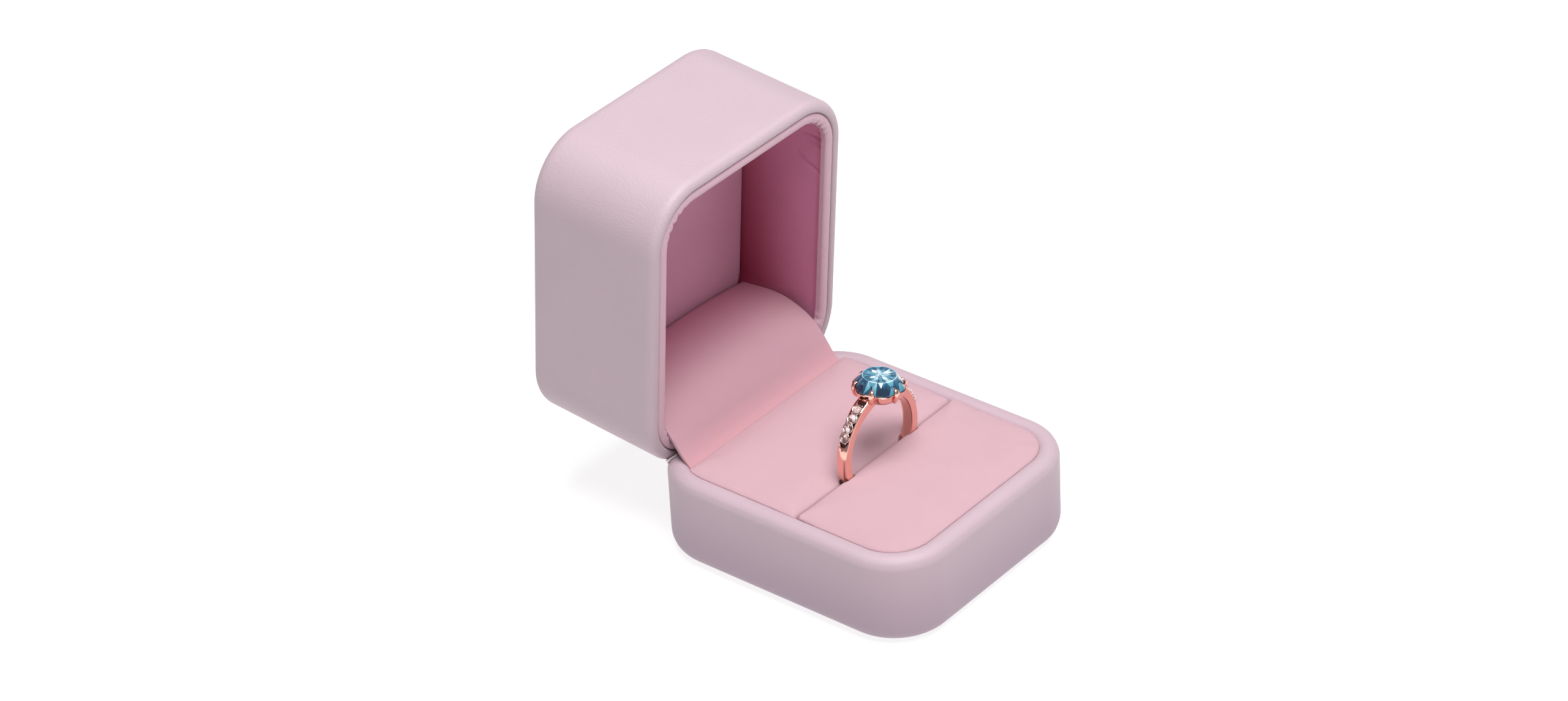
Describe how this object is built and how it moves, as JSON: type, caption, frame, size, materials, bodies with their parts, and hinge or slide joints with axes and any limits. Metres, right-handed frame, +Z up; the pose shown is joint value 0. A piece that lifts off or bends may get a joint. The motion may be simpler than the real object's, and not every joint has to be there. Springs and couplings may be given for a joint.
{
  "type": "jewelry box",
  "caption": "Small leather-covered ring box with rounded corners, a spring-hinged lid lined in satin, two slotted pads and a ring standing between them.",
  "frame": {"origin": "centre of the underside of the base", "axes": "+X along the hinge, -Y the front, +Z up; the lid is at rest standing open"},
  "size_m": [0.055, 0.0891, 0.0796],
  "materials": {
    "leather": "satin, fine pebble grain",
    "lining": "matt, brushed",
    "velvet": "matt, short pile",
    "shell_plastic": "moulded, satin",
    "card": "matt grey card",
    "bottom_cloth": "matt flocked cloth",
    "steel": "plated spring steel",
    "rose_gold": "polished rose gold",
    "topaz": "faceted, polished",
    "accent_stone": "faceted, polished"
  },
  "bodies": {
    "base": {"base_shell": "shell_plastic", "base_wrap": "leather", "bottom_cover": "bottom_cloth", "insert_board": "card", "front_pad": "velvet", "rear_pad": "velvet", "hinge_leaf_base": "steel", "hinge_pin": "steel", "base_rivet_1": "steel", "base_rivet_2": "steel", "hinge_flap": "lining", "snap_spring": "steel"},
    "lid": {"lid_shell": "shell_plastic", "lid_wrap": "leather", "lid_collar": "leather", "lid_wall_lining": "lining", "lid_top_panel": "lining", "lid_panel_board": "card", "hinge_leaf_lid": "steel", "lid_rivet_1": "steel", "lid_rivet_2": "steel", "hinge_cover": "lining"},
    "ring": {"ring_band": "rose_gold", "ring_basket": "rose_gold", "ring_stone": "topaz", "accent_stone_1": "accent_stone", "accent_stone_2": "accent_stone", "accent_stone_3": "accent_stone", "accent_stone_4": "accent_stone", "accent_stone_5": "accent_stone", "accent_stone_6": "accent_stone", "accent_stone_7": "accent_stone", "accent_stone_8": "accent_stone"}
  },
  "joints": [
    {"name": "lid_hinge", "type": "hinge", "parent": "base", "child": "lid", "pos_m": [0, 0.0279, 0.01845], "axis": [-1, 0, 0], "range_deg": [-84.84, 0], "deforming": ["hinge_flap", "snap_spring"]},
    {"name": "ring_lift", "type": "slide", "parent": "base", "child": "ring", "axis": [0, 0, 1], "range_m": [0, 0.04]}
  ]
}
